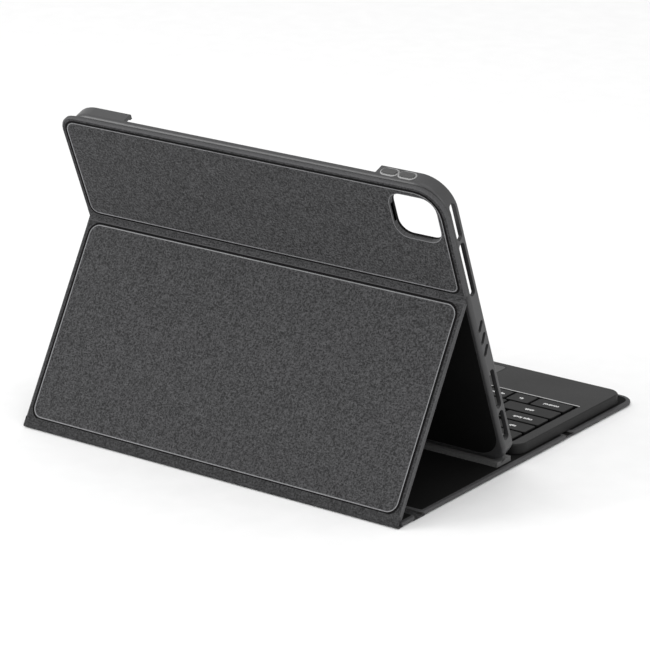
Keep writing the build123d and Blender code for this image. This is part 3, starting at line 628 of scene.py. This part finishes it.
LEGENDS = {
    "keys_number_row": [f"{a}\n{b}" for a, b in zip("~!@#$%^&*()_+", "`1234567890-=")],
    "delete_key": ["delete"],
    "tab_key": ["tab"], "keys_upper_row": list("QWERTYUIOP[]\\"),
    "caps_key": ["caps lock"], "keys_home_row": list("ASDFGHJKL;'"), "enter_key": ["enter"],
    "left_shift_key": ["shift"], "keys_lower_row": list("ZXCVBNM,./"), "right_shift_key": ["shift"],
    "keys_front_row": ["control", "fn", "option", "command", "command", "<", "-", "+", ">"],
}
LETTER = 4.6 * MM
WORD = 3.3 * MM


def caps_of(node):
    """The box of each key cap in a node, from the user's left to right."""
    made = bmesh.new()
    made.from_mesh(nodes[node].data)
    bmesh.ops.remove_doubles(made, verts=made.verts, dist=0.001 * MM)
    left = set(made.verts)
    boxes = []
    while left:
        group, edge_of = set(), [left.pop()]
        while edge_of:
            vertex = edge_of.pop()
            group.add(vertex)
            for edge in vertex.link_edges:
                other = edge.other_vert(vertex)
                if other in left:
                    left.remove(other)
                    edge_of.append(other)
        low = [min(v.co[i] for v in group) for i in range(3)]
        high = [max(v.co[i] for v in group) for i in range(3)]
        boxes.append((low, high))
    made.free()
    return sorted(boxes)


def body_of(node):
    """The body that a node belongs to."""
    return next(body for body, members in bodies.items() if node in members)


made_legends = 0
for node, words in LEGENDS.items():
    gathered = bmesh.new()
    for (low, high), word in zip(caps_of(node), words):
        curve = bpy.data.curves.new("legend", "FONT")
        curve.body = word
        curve.size = LETTER if len(word) == 1 else WORD
        curve.offset = 0.13 * MM
        curve.align_x = "CENTER"
        curve.align_y = "CENTER"
        curve.extrude = 0.02 * MM
        text = bpy.data.objects.new("legend", curve)
        mesh = bpy.data.meshes.new_from_object(text)
        centre = Vector(((low[0] + high[0]) / 2, low[1] + 0.55 * (high[1] - low[1]), high[2] + 0.012 * MM))
        mesh.transform(Matrix.Translation(centre))
        gathered.from_mesh(mesh)
        bpy.data.objects.remove(text)
        bpy.data.meshes.remove(mesh)
        made_legends += 1
    legend = new_object(f"{node}_legends", gathered, (legend_white,))
    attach(legend, body_of(node))
print(made_legends, "legends")

# %% [markdown]
# Two small pieces carry painted highlights: a thin strip along the key well, coloured bright for the
# highlight of the well's chamfer, and the raised rim round each volume button, coloured light grey for the
# highlights on its edges. The strip is a stretched box with bevelled edges, and each rim is a stepped loop
# round a button's own box.

# %% Highlight strip and button rims
HIGHLIGHT_STRIP_WIDTH = 234 * MM
made = bmesh.new()
bmesh.ops.create_cube(made, size=1)
bmesh.ops.scale(made, vec=(HIGHLIGHT_STRIP_WIDTH, 0.8 * MM, 0.4 * MM), verts=made.verts)
bmesh.ops.bevel(
    made, geom=made.edges, offset=0.1 * MM, offset_type="OFFSET", segments=2, profile=0.5,
    affect="EDGES", material=-1,
)
bmesh.ops.translate(made, vec=(0, well[0].y + 0.2 * MM, case_top), verts=made.verts)
highlight_strip = new_object("well_edge_highlight_strip", made, (well_edge_painted_highlight,))
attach(highlight_strip, "keyboard")
top_place = place(crease, tray_up)
for button in ("volume_up_button", "volume_down_button"):
    low, high = [corner / MM for corner in own_box(button, top_place)]
    made = bmesh.new()
    shape = ((low.x - 0.35, high.x + 0.35), low.z - 0.35, high.z + 0.35, [2.3] * 4)
    rings = []
    for height, grow in ((-0.5, 0.75), (0.15, 0.75), (0.35, 0.45), (0.35, 0.2), (0.15, 0), (-0.5, 0)):
        (left, far), near, top, radii = shape
        ring = loop(
            made, (left - grow, far + grow), near - grow, top + grow, [r + grow for r in radii], height
        )
        rings.append(ring)
    for first, second in zip(rings, rings[1:]):
        bmesh.ops.bridge_loops(made, edges=first + second)
    rise = (high.y - 0.8) * MM
    bmesh.ops.scale(made, vec=(MM, MM, MM), verts=made.verts)
    upright = Matrix(((1, 0, 0, 0), (0, 0, 1, rise), (0, 1, 0, 0), (0, 0, 0, 1)))
    bmesh.ops.transform(made, matrix=top_place @ upright, verts=made.verts)
    rim = new_object(f"{button}_rim", made, (button_rim_painted_highlight,))
    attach(rim, "tray")
print("trims done")

# %% [markdown]
# The cover's skins and linings are sheets of leather and cloth pressed on boards; each one's name and the
# size it is cut to are printed.

WIDE = 2 * HALF_WIDTH
LINED = WIDE - 5 * MM
for thing, size, held, under in (
    (base_cover, (WIDE, (KINK_MM - FRONT) * MM), "stretched", ["base_rear_board", "base_front_board"]),
    (base_inside, (LINED, (KINK_MM - FRONT - 8) * MM), "laid", [base_cover]),
    (spine_pair[0], (WIDE, -KINK), "stretched", ["spine_board"]),
    (spine_pair[1], (LINED, -KINK - 6 * MM), "laid", [spine_pair[0]]),
    (stand_pair[0], (WIDE, STAND_LENGTH), "stretched", ["stand_board"]),
    (stand_pair[1], (LINED, STAND_LENGTH - 7 * MM), "laid", [stand_pair[0]]),
    (upper_cover, (WIDE, UPPER_HIGH * MM), "stretched", ["upper_board"]),
    (foot_strip, (WIDE, 10 * MM), "folded", [stand_pair[0], spine_pair[0]]),
    (crease_strip, (WIDE, 10.4 * MM), "folded", [stand_pair[0], upper_cover]),
    (kink_strip, (WIDE, 10 * MM), "folded", [base_cover, spine_pair[0]]),
):
    print(thing.name, [round(v, 4) for v in size])

# %% [markdown]
# The studio is a white floor that meets a white world, one large soft light over the
# case, a fill from the camera's side and a low strip that draws the tray's edges.

# %% Floor and lights
FLOOR_SIZE = 12.0
made = bmesh.new()
bmesh.ops.create_grid(made, x_segments=1, y_segments=1, size=FLOOR_SIZE)
bmesh.ops.translate(made, vec=(0, 0, cad_low.z - 0.2 * MM), verts=made.verts)
floor = new_object("floor", made, (finish("floor_white", grey(0.90), grey(0.92), 60.0, (0.85, 0.95), 0.0),))
floor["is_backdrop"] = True


def soft_light(name, place_at, size, watts):
    """A square area light that faces the case."""
    data = bpy.data.lights.new(name, "AREA")
    data.size = size
    data.energy = watts
    light = bpy.data.objects.new(name, data)
    light.location = place_at
    aim = Vector((0, 0, 0.08)) - light.location
    light.rotation_euler = aim.to_track_quat("-Z", "Y").to_euler()
    bpy.context.collection.objects.link(light)


soft_light("over_light", Vector((-0.4, 0.7, 1.7)), 1.6, 6.5)
soft_light("view_light", Vector((-1.7, 1.0, 0.45)), 1.2, 7)
soft_light("edge_light", Vector((1.1, 1.2, 0.45)), 0.8, 15)
world = bpy.data.worlds.new("studio")
world.use_nodes = True
world.node_tree.nodes["Background"].inputs["Color"].default_value = (1, 1, 1, 1)
world.node_tree.nodes["Background"].inputs["Strength"].default_value = 0.94
bpy.context.scene.world = world
bpy.context.scene.view_settings.view_transform = "Standard"
low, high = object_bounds()
print("visual box", [round(v, 4) for v in high - low])
